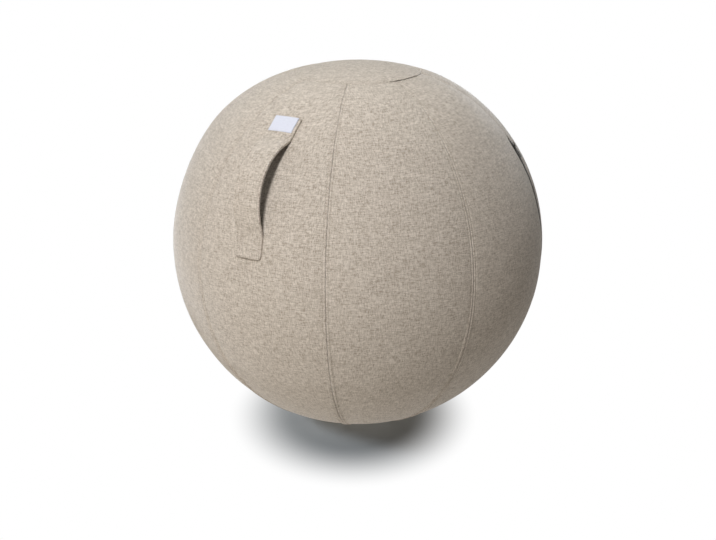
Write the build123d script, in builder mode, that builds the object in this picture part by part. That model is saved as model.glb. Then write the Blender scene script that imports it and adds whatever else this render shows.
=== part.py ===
from build123d import *

import os
from math import acos, asin, atan2, cos, degrees, radians, sin, sqrt

os.makedirs("parts", exist_ok=True)

# Sitting ball: an inflated inner ball in a sewn cover with a carry handle, a zip and a weighted base.
# Millimetres and degrees. The origin is on the floor under the ball's centre, +Z is up, the handle faces -Y.

# Outside of the ball: a sphere that flattens towards the round patch on top and towards the floor
ball_radius = 325.0
shoulder_latitude = 50.0
shoulder_radius = 260.0
patch_radius = 109.0
base_panel_radius = 78.0
base_margin = 1.0
floor_rounding = 30.0

# Cover: gores, their fleece backing and the tapes under their seams
gore_count = 8
first_seam_angle = -110.7
seam_gap = 0.4
face_thickness = 1.4
layer_gap = 0.2
fleece_thickness = 2.5
tape_half_width = 9.0
tape_thickness = 0.8
tape_clearance = 0.5

# Sewing threads that lie on the cover
thread_radius = 0.35
thread_gap = 0.1
stitch_offset = 4.5
row_end_margin = 2.0

# Inflated inner ball and its valve
bladder_gap = 0.3
bladder_wall = 1.0
bladder_lobe_radius = 8.0
bladder_dip_radius = 8.0
valve_side_angle = 14.0
valve_latitude = 6.0
valve_bore_radius = 5.0
valve_neck_radius = 9.0
valve_neck_length = 14.0
valve_flange_radius = 16.0
valve_flange_thickness = 2.0
plug_head_thickness = 1.2
plug_stem_length = 11.0
plug_tip_radius = 3.6
valve_clearance = 0.15

# Weighted ring on the base
ring_overlap = 6.0
ring_width = 38.0
ring_height = 15.0
ring_corner = 6.5
ring_wall = 1.2
ring_gap = 0.3

# Carry handle on the handle gore, measured along the ball from its lower end to its upper end
handle_low_latitude = 7.7
handle_low_tab = 31.0
handle_span = 182.0
handle_width = 52.0
handle_bow = 31.5
handle_lift_radius = 40.0
handle_gap = 0.3
sleeve_wall = 1.3
webbing_width = 40.0
webbing_thickness = 1.6
webbing_clearance = 0.1
webbing_end_margin = 3.0
label_width = 47.0
label_length = 31.0
label_thickness = 0.7
label_shift = 2.0
label_end_margin = 0.5
label_lift_margin = 1.5
label_gap = 0.15
edge_stitch_inset = 4.0
tab_stitch_inset = 2.5

# Zip on one seam, from its bottom stop to its top stop
zip_seam = 3
zip_seam_shift = 2.0
zip_low_latitude = -51.0
zip_high_latitude = 35.5
zip_slot_half_width = 6.2
zip_tape_half_width = 19.0
zip_tape_thickness = 0.6
zip_tape_end_margin = 8.0
zip_cord_width = 0.9
zip_cord_outer = 3.6
zip_cord_thickness = 1.4
zip_fit = 0.1
tooth_pitch = 4.2
tooth_gap = 0.3
tooth_thickness = 2.2
tooth_reach = 1.0
tooth_root_overlap = 0.4
stop_length = 3.0
stop_half_width = 3.4
slider_length = 15.0
slider_half_width = 5.1
slider_nose_half_width = 3.4
slider_nose_length = 3.0
slider_plate = 0.8
slider_clearance = 0.25
slider_rail_gap = 1.1
slider_wedge_length = 5.0
slider_wedge_half_width = 1.6
slider_wedge_margin = 0.8
bail_half_width = 1.2
bail_eye_length = 5.0
bail_eye_height = 2.2
bail_thickness = 0.9
pull_pin_radius = 0.7
pull_arm_width = 1.3
pull_arm_clearance = 0.6
pull_neck = 5.0
pull_length = 26.0
pull_tilt = 2.5
pull_half_width = 4.2
pull_thickness = 1.2
pull_slot_half_width = 1.5
pull_slot_length = 9.0

# Worked out from the above
gore_angle = 360.0 / gore_count
seam_gap_angle = degrees(seam_gap / ball_radius)
flat_radius = base_panel_radius + tape_half_width + base_margin
centre_height = floor_rounding + sqrt((ball_radius - floor_rounding) ** 2 - flat_radius**2)
rounding_latitude = degrees(atan2(floor_rounding - centre_height, flat_radius))
shoulder_r = (ball_radius - shoulder_radius) * cos(radians(shoulder_latitude))
shoulder_z = centre_height + (ball_radius - shoulder_radius) * sin(radians(shoulder_latitude))
patch_slope = degrees(asin((patch_radius - shoulder_r) / shoulder_radius))
dome_radius = patch_radius / sin(radians(patch_slope))
dome_z = shoulder_z + (shoulder_radius - dome_radius) * cos(radians(patch_slope))
backing_depth = face_thickness + layer_gap
ball_centre = Vector(0, 0, centre_height)


def meridian(angle):
    """Upright plane through the ball's axis: x runs outwards at an angle round the ball, y runs up."""
    turn = radians(angle)
    return Plane(origin=(0, 0, 0), x_dir=(cos(turn), sin(turn), 0), z_dir=(sin(turn), -cos(turn), 0))


def centre_meridian(angle):
    """The same plane with its origin at the ball's centre, so that its polar angle is the latitude."""
    return Plane(origin=ball_centre, x_dir=meridian(angle).x_dir, z_dir=meridian(angle).z_dir)


def radial(angle, latitude):
    """Unit vector out of the ball's centre."""
    turn = radians(angle)
    rise = radians(latitude)
    return Vector(cos(turn) * cos(rise), sin(turn) * cos(rise), sin(rise))


def seam_angle(number):
    """Angle round the ball of the seam that ends a gore; the zip's width shifts its own seam."""
    shift = zip_seam_shift if number == zip_seam else 0.0
    return first_seam_angle + number * gore_angle + shift


def gore_sweep(number):
    """Angle between the two seams of a gore."""
    return seam_angle(number) - seam_angle(number - 1)


def side_line(depth, top_r, low_latitude):
    """Draws the ball's outline at a depth, from a radius by the patch to a latitude; returns its ends."""
    reach = shoulder_radius - depth
    top_angle = degrees(acos((top_r - shoulder_r) / reach))
    shoulder = CenterArc((shoulder_r, shoulder_z), reach, shoulder_latitude, top_angle - shoulder_latitude)
    side = CenterArc(
        (0, centre_height), ball_radius - depth, low_latitude, shoulder_latitude - low_latitude
    )
    return shoulder @ 1, side @ 0


def foot_line(depth, foot_r):
    """Draws the rounding at the floor and the flat under the ball, in to a radius; returns the inner end."""
    rounding = CenterArc((flat_radius, floor_rounding), floor_rounding - depth, -90, rounding_latitude + 90)
    flat = Line(rounding @ 0, (foot_r, depth))
    return flat @ 1


def dome_line(depth, outer_r):
    """Draws the top of the ball at a depth, from the axis out to a radius; returns both ends."""
    reach = dome_radius - depth
    edge_angle = degrees(acos(outer_r / reach))
    dome = CenterArc((0, dome_z), reach, edge_angle, 90 - edge_angle)
    return dome @ 1, dome @ 0


def ring_tape_line(depth, inner_r, outer_r):
    """Draws the top of the ball at a depth across the patch's seam, between two radii; returns both ends."""
    dome_reach = dome_radius - depth
    shoulder_reach = shoulder_radius - depth
    edge_angle = 90 - patch_slope
    inner_angle = degrees(acos(inner_r / dome_reach))
    outer_angle = degrees(acos((outer_r - shoulder_r) / shoulder_reach))
    dome = CenterArc((0, dome_z), dome_reach, edge_angle, inner_angle - edge_angle)
    shoulder = CenterArc((shoulder_r, shoulder_z), shoulder_reach, outer_angle, edge_angle - outer_angle)
    return dome @ 1, shoulder @ 0


# Gore panels, cut back on both sides of the zip
zip_angle = seam_angle(zip_seam)
zip_tape_radius = ball_radius - backing_depth - zip_tape_thickness / 2
zip_margin_angle = degrees(zip_tape_end_margin / zip_tape_radius)
slot_low = zip_low_latitude - zip_margin_angle / 2
slot_high = zip_high_latitude + zip_margin_angle / 2
zip_reach = 2 * ball_radius


def zip_wedge(low, high):
    """Draws a wedge out of the ball's centre between two latitudes, for cuts along the zip."""
    middle = (low + high) / 2
    corners = [
        (zip_reach * cos(radians(latitude)), zip_reach * sin(radians(latitude)))
        for latitude in (low, middle, high)
    ]
    Polyline((0, 0), *corners, close=True)


gore_top_r = patch_radius + seam_gap / 2
gore_foot_r = base_panel_radius + seam_gap / 2
for number in range(1, gore_count + 1):
    with BuildPart() as gore_panel:
        with BuildSketch(meridian(seam_angle(number - 1) + seam_gap_angle / 2)):
            with BuildLine():
                outer_top, outer_side = side_line(0, gore_top_r, rounding_latitude)
                outer_foot = foot_line(0, gore_foot_r)
                inner_top, inner_side = side_line(face_thickness, gore_top_r, rounding_latitude)
                inner_foot = foot_line(face_thickness, gore_foot_r)
                Line(outer_top, inner_top)
                Line(outer_foot, inner_foot)
            make_face()
        revolve(axis=Axis.Z, revolution_arc=gore_sweep(number) - seam_gap_angle)
        if number in (zip_seam, zip_seam + 1):
            with BuildSketch(centre_meridian(zip_angle)):
                with BuildLine():
                    zip_wedge(slot_low, slot_high)
                make_face()
            extrude(amount=zip_slot_half_width, both=True, mode=Mode.SUBTRACT)
    gore_panel.part.label = f"gore_panel_{number}"
    export_step(gore_panel.part, f"parts/gore_panel_{number}.step")

# Fleece backing of each gore, trimmed back from the tapes under its seams
fleece_top_r = patch_radius + tape_half_width + tape_clearance
fleece_depth = backing_depth + fleece_thickness
for number in range(1, gore_count + 1):
    with BuildPart() as fleece_panel:
        with BuildSketch(meridian(seam_angle(number - 1))):
            with BuildLine():
                outer_top, outer_low = side_line(backing_depth, fleece_top_r, rounding_latitude)
                inner_top, inner_low = side_line(fleece_depth, fleece_top_r, rounding_latitude)
                Line(outer_top, inner_top)
                Line(outer_low, inner_low)
            make_face()
        revolve(axis=Axis.Z, revolution_arc=gore_sweep(number))
        for seam in (number - 1, number):
            seam_half_width = zip_tape_half_width if seam == zip_seam else tape_half_width
            with BuildSketch(centre_meridian(seam_angle(seam))):
                Rectangle(2 * zip_reach, 2 * zip_reach)
            extrude(amount=seam_half_width + tape_clearance, both=True, mode=Mode.SUBTRACT)
    fleece_panel.part.label = f"fleece_panel_{number}"
    export_step(fleece_panel.part, f"parts/fleece_panel_{number}.step")

# Round patch on top and its fleece backing
with BuildPart() as top_patch:
    with BuildSketch(Plane.XZ):
        with BuildLine():
            outer_pole, outer_edge = dome_line(0, patch_radius - seam_gap / 2)
            inner_pole, inner_edge = dome_line(face_thickness, patch_radius - seam_gap / 2)
            Line(outer_pole, inner_pole)
            Line(outer_edge, inner_edge)
        make_face()
    revolve(axis=Axis.Z)
top_patch.part.label = "top_patch"
export_step(top_patch.part, "parts/top_patch.step")

with BuildPart() as top_patch_fleece:
    with BuildSketch(Plane.XZ):
        with BuildLine():
            fleece_edge_r = patch_radius - tape_half_width - tape_clearance
            outer_pole, outer_edge = dome_line(backing_depth, fleece_edge_r)
            inner_pole, inner_edge = dome_line(fleece_depth, fleece_edge_r)
            Line(outer_pole, inner_pole)
            Line(outer_edge, inner_edge)
        make_face()
    revolve(axis=Axis.Z)
top_patch_fleece.part.label = "top_patch_fleece"
export_step(top_patch_fleece.part, "parts/top_patch_fleece.step")

# Base panel on the floor
with BuildPart() as base_panel:
    with BuildSketch(Plane.XY):
        Circle(base_panel_radius - seam_gap / 2)
    extrude(amount=face_thickness)
base_panel.part.label = "base_panel"
export_step(base_panel.part, "parts/base_panel.step")

# Tapes under the gore seams; the zip's seam has one above the zip and one below it
tape_depth = backing_depth + tape_thickness
tape_top_r = patch_radius + tape_half_width + tape_clearance
tape_sweep = 4 * degrees(asin(tape_half_width / tape_top_r))
for number in range(1, gore_count + 1):
    with BuildPart() as seam_tape:
        with BuildSketch(meridian(seam_angle(number) - tape_sweep / 2)):
            with BuildLine():
                outer_top, outer_low = side_line(backing_depth, tape_top_r, rounding_latitude)
                inner_top, inner_low = side_line(tape_depth, tape_top_r, rounding_latitude)
                Line(outer_top, inner_top)
                Line(outer_low, inner_low)
            make_face()
        revolve(axis=Axis.Z, revolution_arc=tape_sweep)
        with BuildSketch(centre_meridian(seam_angle(number))):
            Rectangle(2 * zip_reach, 2 * zip_reach)
        extrude(amount=tape_half_width, both=True, mode=Mode.INTERSECT)
        if number == zip_seam:
            with BuildSketch(centre_meridian(zip_angle)):
                with BuildLine():
                    zip_wedge(zip_low_latitude - zip_margin_angle, zip_high_latitude + zip_margin_angle)
                make_face()
            extrude(amount=zip_tape_half_width, both=True, mode=Mode.SUBTRACT)
    seam_tape.part.label = f"seam_tape_{number}"
    export_step(seam_tape.part, f"parts/seam_tape_{number}.step")

# Tapes under the seams of the top patch and of the base panel
with BuildPart() as top_ring_tape:
    with BuildSketch(Plane.XZ):
        with BuildLine():
            tape_inner_r = patch_radius - tape_half_width
            tape_outer_r = patch_radius + tape_half_width
            outer_in, outer_out = ring_tape_line(backing_depth, tape_inner_r, tape_outer_r)
            inner_in, inner_out = ring_tape_line(tape_depth, tape_inner_r, tape_outer_r)
            Line(outer_in, inner_in)
            Line(outer_out, inner_out)
        make_face()
    revolve(axis=Axis.Z)
top_ring_tape.part.label = "top_ring_tape"
export_step(top_ring_tape.part, "parts/top_ring_tape.step")

with BuildPart() as base_ring_tape:
    with BuildSketch(Plane.XY.offset(backing_depth)):
        Circle(base_panel_radius + tape_half_width)
        Circle(base_panel_radius - tape_half_width, mode=Mode.SUBTRACT)
    extrude(amount=tape_thickness)
base_ring_tape.part.label = "base_ring_tape"
export_step(base_ring_tape.part, "parts/base_ring_tape.step")

# Topstitching: two thread rows along each gore seam and one round the top patch
thread_lift = thread_radius + thread_gap
with BuildPart() as gore_topstitching:
    for number in range(1, gore_count + 1):
        row_offset = stitch_offset + (zip_slot_half_width if number == zip_seam else 0)
        for side in (-1, 1):
            with BuildLine(meridian(seam_angle(number)).offset(side * row_offset)) as row:
                side_line(-thread_lift, patch_radius + row_end_margin, rounding_latitude + row_end_margin)
            row_wire = row.wire()
            with BuildSketch(Plane(origin=row_wire @ 0, z_dir=row_wire % 0)):
                Circle(thread_radius)
            sweep(path=row_wire)
gore_topstitching.part.label = "gore_topstitching"
export_step(gore_topstitching.part, "parts/gore_topstitching.step")

with BuildPart() as patch_topstitching:
    with BuildSketch(Plane.XZ):
        row_angle = asin((patch_radius - stitch_offset) / dome_radius)
        row_reach = dome_radius + thread_lift
        with Locations((row_reach * sin(row_angle), dome_z + row_reach * cos(row_angle))):
            Circle(thread_radius)
    revolve(axis=Axis.Z)
patch_topstitching.part.label = "patch_topstitching"
export_step(patch_topstitching.part, "parts/patch_topstitching.step")

# Weighted ring: a sleeve sewn over the base panel's seam and its fill
ring_outer_radius = base_panel_radius + ring_overlap
ring_base_z = backing_depth + tape_thickness + ring_gap
ring_top_z = ring_base_z + ring_height
ring_inner_radius = ring_outer_radius - ring_width
ring_middle = (ring_inner_radius + ring_width / 2, ring_base_z + ring_height / 2)
fill_inset = ring_wall + layer_gap
with BuildPart() as ballast_sleeve:
    with BuildSketch(Plane.XZ):
        with Locations(ring_middle):
            RectangleRounded(ring_width, ring_height, ring_corner)
            offset(amount=-ring_wall, mode=Mode.SUBTRACT)
    revolve(axis=Axis.Z)
ballast_sleeve.part.label = "ballast_sleeve"
export_step(ballast_sleeve.part, "parts/ballast_sleeve.step")

with BuildPart() as ballast_fill:
    with BuildSketch(Plane.XZ):
        with Locations(ring_middle):
            RectangleRounded(
                ring_width - 2 * fill_inset, ring_height - 2 * fill_inset, ring_corner - fill_inset
            )
    revolve(axis=Axis.Z)
ballast_fill.part.label = "ballast_fill"
export_step(ballast_fill.part, "parts/ballast_fill.step")

# Inflated inner ball: it fills the cover, stands inside the weighted ring and swells over it
slider_half_height = tooth_thickness / 2 + slider_clearance + slider_plate
zip_depth = ball_radius - zip_tape_radius
bladder_depth = max(fleece_depth, zip_depth + slider_half_height) + bladder_gap
bladder_radius = ball_radius - bladder_depth
dip_z = face_thickness + bladder_gap
lobe_r = ring_outer_radius + ring_gap + bladder_lobe_radius
lobe_z = centre_height - sqrt((bladder_radius - bladder_lobe_radius) ** 2 - lobe_r**2)
lobe_latitude = degrees(atan2(lobe_z - centre_height, lobe_r))


def bladder_outline(inset):
    """Draws the closed half outline of the inner ball, moved inwards by an inset."""
    over_ring = ring_corner + ring_gap + inset
    corner_z = ring_top_z - ring_corner
    corner_out = ring_outer_radius - ring_corner
    corner_in = ring_inner_radius + ring_corner
    wall_out = ring_outer_radius + ring_gap + inset
    wall_in = ring_inner_radius - ring_gap - inset
    dip_r = ring_inner_radius - ring_gap - bladder_dip_radius
    depth = bladder_depth + inset
    pole, _ = dome_line(depth, (dome_radius - depth) * sin(radians(patch_slope)))
    shoulder_sweep = 90 - patch_slope - shoulder_latitude
    CenterArc((shoulder_r, shoulder_z), shoulder_radius - depth, shoulder_latitude, shoulder_sweep)
    CenterArc((0, centre_height), bladder_radius - inset, lobe_latitude, shoulder_latitude - lobe_latitude)
    CenterArc((lobe_r, lobe_z), bladder_lobe_radius - inset, 180, 180 + lobe_latitude)
    Line((wall_out, lobe_z), (wall_out, corner_z))
    CenterArc((corner_out, corner_z), over_ring, 0, 90)
    Line((corner_out, corner_z + over_ring), (corner_in, corner_z + over_ring))
    CenterArc((corner_in, corner_z), over_ring, 90, 90)
    Line((wall_in, corner_z), (wall_in, dip_z + bladder_dip_radius))
    CenterArc((dip_r, dip_z + bladder_dip_radius), bladder_dip_radius - inset, -90, 90)
    Polyline((dip_r, dip_z + inset), (0, dip_z + inset), pole)


valve_out = radial(zip_angle - valve_side_angle, valve_latitude)
valve_plane = Plane(origin=ball_centre + valve_out * bladder_radius, z_dir=valve_out)
valve_hole_radius = valve_neck_radius + valve_clearance
with BuildPart() as inner_ball:
    with BuildSketch(Plane.XZ):
        with BuildLine():
            bladder_outline(0)
        make_face()
        with BuildLine():
            bladder_outline(bladder_wall)
        make_face(mode=Mode.SUBTRACT)
    revolve(axis=Axis.Z)
    with BuildSketch(valve_plane):
        Circle(valve_hole_radius)
    extrude(amount=valve_neck_length, both=True, mode=Mode.SUBTRACT)
inner_ball.part.label = "inner_ball"
export_step(inner_ball.part, "parts/inner_ball.step")

# Valve seat, welded inside the inner ball, and the plug pushed into it
bladder_inside = bladder_radius - bladder_wall
flange_sag = bladder_inside - sqrt(bladder_inside**2 - valve_flange_radius**2)
flange_top = -bladder_wall - flange_sag - valve_clearance
seat_top = -plug_head_thickness - valve_clearance
seat_bottom = seat_top - valve_neck_length
with BuildPart() as valve_seat:
    with BuildSketch(valve_plane.offset(seat_bottom)):
        Circle(valve_neck_radius)
    extrude(amount=valve_neck_length)
    with BuildSketch(valve_plane.offset(flange_top - valve_flange_thickness)):
        Circle(valve_flange_radius)
    extrude(amount=valve_flange_thickness)
    with BuildSketch(valve_plane.offset(seat_bottom)):
        Circle(valve_bore_radius)
    extrude(amount=valve_neck_length, mode=Mode.SUBTRACT)
valve_seat.part.label = "valve_seat"
export_step(valve_seat.part, "parts/valve_seat.step")

with BuildPart() as valve_plug:
    with BuildSketch(valve_plane.offset(-plug_head_thickness)):
        Circle(valve_neck_radius - valve_clearance)
    extrude(amount=plug_head_thickness)
    with BuildSketch(valve_plane.offset(-plug_head_thickness)):
        Circle(valve_bore_radius - valve_clearance)
    with BuildSketch(valve_plane.offset(-plug_head_thickness - plug_stem_length)):
        Circle(plug_tip_radius)
    loft()
valve_plug.part.label = "valve_plug"
export_step(valve_plug.part, "parts/valve_plug.step")

# Carry handle: latitudes where its sewn ends, its lifts and its bow meet
handle_plane = centre_meridian(-90)
strap_seat = ball_radius + handle_gap
edge_row_trim = label_end_margin + label_length + row_end_margin
handle_high_tab = edge_row_trim + label_lift_margin
low_end = handle_low_latitude
low_lift = low_end + degrees(handle_low_tab / ball_radius)
high_lift = low_lift + degrees(handle_span / ball_radius)
high_end = high_lift + degrees(handle_high_tab / ball_radius)
bow_middle = (low_lift + high_lift) / 2
half_span = radians((high_lift - low_lift) / 2)
lift_reach = strap_seat + handle_lift_radius
lift_rise = lift_reach * cos(half_span) - strap_seat - handle_bow
bow_radius = ((lift_reach * sin(half_span)) ** 2 + lift_rise**2 - handle_lift_radius**2) / (
    2 * (handle_lift_radius - lift_rise)
)
bow_reach = strap_seat + handle_bow - bow_radius
bow_turn = degrees(asin(lift_reach * sin(half_span) / (handle_lift_radius + bow_radius)))
strap_thickness = 2 * (sleeve_wall + webbing_clearance) + webbing_thickness


def polar(reach, latitude):
    """Point on the handle's plane."""
    return (reach * cos(radians(latitude)), reach * sin(radians(latitude)))


def strap_line(height, low_trim=0.0, high_trim=0.0):
    """Draws the strap's line at a height over its underside, with its ends trimmed; returns both ends."""
    reach = strap_seat + height
    low = low_end + degrees(low_trim / ball_radius)
    high = high_end - degrees(high_trim / ball_radius)
    low_tab = CenterArc((0, 0), reach, low, low_lift - low)
    lift = handle_lift_radius - height
    turn = bow_middle - bow_turn - low_lift
    CenterArc(polar(lift_reach, low_lift), lift, low_lift + 180, turn)
    CenterArc(polar(bow_reach, bow_middle), bow_radius + height, bow_middle - bow_turn, 2 * bow_turn)
    CenterArc(polar(lift_reach, high_lift), lift, high_lift + 180, -turn)
    high_tab = CenterArc((0, 0), reach, high_lift, high - high_lift)
    return low_tab @ 0, high_tab @ 1


webbing_low = sleeve_wall + webbing_clearance
webbing_high = webbing_low + webbing_thickness
with BuildPart() as handle_sleeve:
    with BuildSketch(handle_plane):
        with BuildLine():
            under_low, under_high = strap_line(0)
            over_low, over_high = strap_line(strap_thickness)
            Line(under_low, over_low)
            Line(under_high, over_high)
        make_face()
    extrude(amount=handle_width / 2, both=True)
    cavity_trim = webbing_end_margin - webbing_clearance
    with BuildSketch(handle_plane):
        with BuildLine():
            under_low, under_high = strap_line(sleeve_wall, cavity_trim, cavity_trim)
            over_low, over_high = strap_line(strap_thickness - sleeve_wall, cavity_trim, cavity_trim)
            Line(under_low, over_low)
            Line(under_high, over_high)
        make_face()
    extrude(amount=webbing_width / 2 + webbing_clearance, both=True, mode=Mode.SUBTRACT)
handle_sleeve.part.label = "handle_sleeve"
export_step(handle_sleeve.part, "parts/handle_sleeve.step")

with BuildPart() as handle_webbing:
    with BuildSketch(handle_plane):
        with BuildLine():
            under_low, under_high = strap_line(webbing_low, webbing_end_margin, webbing_end_margin)
            over_low, over_high = strap_line(webbing_high, webbing_end_margin, webbing_end_margin)
            Line(under_low, over_low)
            Line(under_high, over_high)
        make_face()
    extrude(amount=webbing_width / 2, both=True)
handle_webbing.part.label = "handle_webbing"
export_step(handle_webbing.part, "parts/handle_webbing.step")


def tab_patch(height, thickness, low, high):
    """Draws a thin band on one of the strap's sewn ends, between two latitudes."""
    reach = strap_seat + height
    under = CenterArc((0, 0), reach, low, high - low)
    over = CenterArc((0, 0), reach + thickness, low, high - low)
    Line(under @ 0, over @ 0)
    Line(under @ 1, over @ 1)


label_high = high_end - degrees(label_end_margin / ball_radius)
label_low = label_high - degrees(label_length / ball_radius)
with BuildPart() as handle_label:
    with BuildSketch(handle_plane.offset(label_shift)):
        with BuildLine():
            tab_patch(strap_thickness + label_gap, label_thickness, label_low, label_high)
        make_face()
    extrude(amount=label_width / 2, both=True)
handle_label.part.label = "handle_label"
export_step(handle_label.part, "parts/handle_label.step")

# Stitching of the handle: a row along each edge up to the label, and rows across the sewn ends
stitch_height = strap_thickness + thread_gap
stitch_width = 2 * thread_radius
edge_row = handle_width / 2 - edge_stitch_inset
across_half_width = edge_row - stitch_width
row_latitude = degrees(stitch_width / ball_radius)
low_row = low_end + degrees(tab_stitch_inset / ball_radius)
with BuildPart() as handle_stitching:
    for side in (-1, 1):
        with BuildSketch(handle_plane.offset(side * edge_row)):
            with BuildLine():
                under_low, under_high = strap_line(stitch_height, 0, edge_row_trim)
                over_low, over_high = strap_line(stitch_height + stitch_width, 0, edge_row_trim)
                Line(under_low, over_low)
                Line(under_high, over_high)
            make_face()
        extrude(amount=thread_radius, both=True)
    for row in (low_row, low_lift - row_latitude):
        with BuildSketch(handle_plane):
            with BuildLine():
                tab_patch(stitch_height, stitch_width, row, row + row_latitude)
            make_face()
        extrude(amount=across_half_width, both=True)
handle_stitching.part.label = "handle_stitching"
export_step(handle_stitching.part, "parts/handle_stitching.step")

# Zip: everything follows an arc about the ball's centre, in the plane of the zip's seam
zip_plane = centre_meridian(zip_angle)
zip_axis = Axis(ball_centre, zip_plane.z_dir)
slider_latitude = zip_high_latitude - degrees((slider_length / 2 + stop_length) / zip_tape_radius)
tooth_angle = degrees(tooth_pitch / zip_tape_radius)
tooth_count = int((slider_latitude - zip_low_latitude) / tooth_angle) - 1
teeth_high = slider_latitude
teeth_low = teeth_high - (tooth_count + 1) * tooth_angle


def zip_section(latitude):
    """Plane across the zip at a latitude: x runs outwards, y runs to the zip's left."""
    out = radial(zip_angle, latitude)
    return Plane(origin=ball_centre, x_dir=out, z_dir=out.cross(zip_plane.z_dir))


def zip_band(inner_reach, outer_reach, near, far):
    """Draws a band's section that follows the ball, between two reaches and two distances from the seam."""
    near_angle = degrees(asin(near / outer_reach))
    far_angle = degrees(asin(far / outer_reach))
    inner = CenterArc((0, 0), inner_reach, near_angle, far_angle - near_angle)
    outer = CenterArc((0, 0), outer_reach, near_angle, far_angle - near_angle)
    Line(inner @ 0, outer @ 0)
    Line(inner @ 1, outer @ 1)


for side, side_name in ((1, "left"), (-1, "right")):
    tape_low = zip_low_latitude - zip_margin_angle / 2
    tape_span = zip_high_latitude - zip_low_latitude + zip_margin_angle
    with BuildPart() as zip_tape:
        with BuildSketch(zip_section(tape_low)):
            with BuildLine():
                zip_band(
                    zip_tape_radius - zip_tape_thickness / 2,
                    zip_tape_radius + zip_tape_thickness / 2,
                    side * (zip_cord_outer + zip_fit),
                    side * zip_tape_half_width,
                )
            make_face()
        revolve(axis=zip_axis, revolution_arc=tape_span)
    zip_tape.part.label = f"zip_tape_{side_name}"
    export_step(zip_tape.part, f"parts/zip_tape_{side_name}.step")

    # Teeth stand on a cord at the tape's edge, and the two rows lock half a pitch apart
    tooth_root = zip_cord_outer - zip_cord_width + tooth_root_overlap
    tooth_middle = side * (tooth_root - tooth_reach) / 2
    row_start = teeth_low + tooth_angle * (1.0 if side > 0 else 1.5)
    with BuildPart(zip_plane) as zip_teeth:
        with BuildSketch(zip_section(teeth_low)):
            with BuildLine():
                zip_band(
                    zip_tape_radius - zip_cord_thickness / 2,
                    zip_tape_radius + zip_cord_thickness / 2,
                    side * (zip_cord_outer - zip_cord_width),
                    side * zip_cord_outer,
                )
            make_face()
        revolve(axis=zip_axis, revolution_arc=teeth_high - teeth_low)
        with PolarLocations(zip_tape_radius, tooth_count, row_start, tooth_count * tooth_angle):
            with Locations((0, 0, tooth_middle)):
                Box(tooth_thickness, tooth_pitch / 2 - tooth_gap, tooth_root + tooth_reach)
    zip_teeth.part.label = f"zip_teeth_{side_name}"
    export_step(zip_teeth.part, f"parts/zip_teeth_{side_name}.step")

# Stops that close the chain above the slider and below the last tooth
stop_angle = degrees(stop_length / zip_tape_radius)
stop_clearance = stop_angle / 4
stops = {
    "zip_bottom_stop": teeth_low - stop_clearance - stop_angle,
    "zip_top_stop": zip_high_latitude - stop_angle + stop_clearance,
}
for stop_name, stop_low in stops.items():
    with BuildPart() as zip_stop:
        with BuildSketch(zip_section(stop_low)):
            with BuildLine():
                zip_band(
                    zip_tape_radius - tooth_thickness / 2,
                    zip_tape_radius + tooth_thickness / 2,
                    -stop_half_width,
                    stop_half_width,
                )
            make_face()
        revolve(axis=zip_axis, revolution_arc=stop_angle)
    zip_stop.part.label = stop_name
    export_step(zip_stop.part, f"parts/{stop_name}.step")

# Slider: two plates round the chain, rails that hold the teeth, a wedge between the rows and a bail on top
slider_out = radial(zip_angle, slider_latitude)
slider_up = zip_plane.z_dir.cross(slider_out)
slider_plane = Plane(origin=ball_centre + slider_out * zip_tape_radius, x_dir=slider_up, z_dir=slider_out)
channel_half = tooth_thickness / 2 + slider_clearance
rail_half_width = zip_cord_outer + slider_clearance
rail_height = channel_half - slider_rail_gap / 2
rail_middle = (rail_half_width + slider_half_width) / 2
plate_top = channel_half + slider_plate
rail_length = slider_length - slider_nose_length
wedge_middle = slider_wedge_margin + slider_wedge_length / 2
with BuildPart(slider_plane) as zip_slider:
    for face in (-1, 1):
        with BuildSketch(slider_plane.offset(face * channel_half)):
            with BuildLine():
                Polyline(
                    (slider_length / 2, -slider_half_width),
                    (slider_length / 2, slider_half_width),
                    (slider_nose_length - slider_length / 2, slider_half_width),
                    (-slider_length / 2, slider_nose_half_width),
                    (-slider_length / 2, -slider_nose_half_width),
                    (slider_nose_length - slider_length / 2, -slider_half_width),
                    close=True,
                )
            make_face()
        extrude(amount=face * slider_plate)
        for side in (-1, 1):
            rail_place = (slider_nose_length / 2, side * rail_middle, face * (channel_half - rail_height / 2))
            with Locations(rail_place):
                Box(rail_length, slider_half_width - rail_half_width, rail_height)
    with Locations((wedge_middle, 0, 0)):
        Box(slider_wedge_length, 2 * slider_wedge_half_width, 2 * channel_half)
    with Locations((0, 0, plate_top + (bail_eye_height + bail_thickness) / 2)):
        Box(bail_eye_length + 2 * bail_thickness, 2 * bail_half_width, bail_eye_height + bail_thickness)
    with Locations((0, 0, plate_top + bail_eye_height / 2)):
        Box(bail_eye_length, 2 * bail_half_width, bail_eye_height, mode=Mode.SUBTRACT)
zip_slider.part.label = "zip_slider"
export_step(zip_slider.part, "parts/zip_slider.step")

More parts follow.
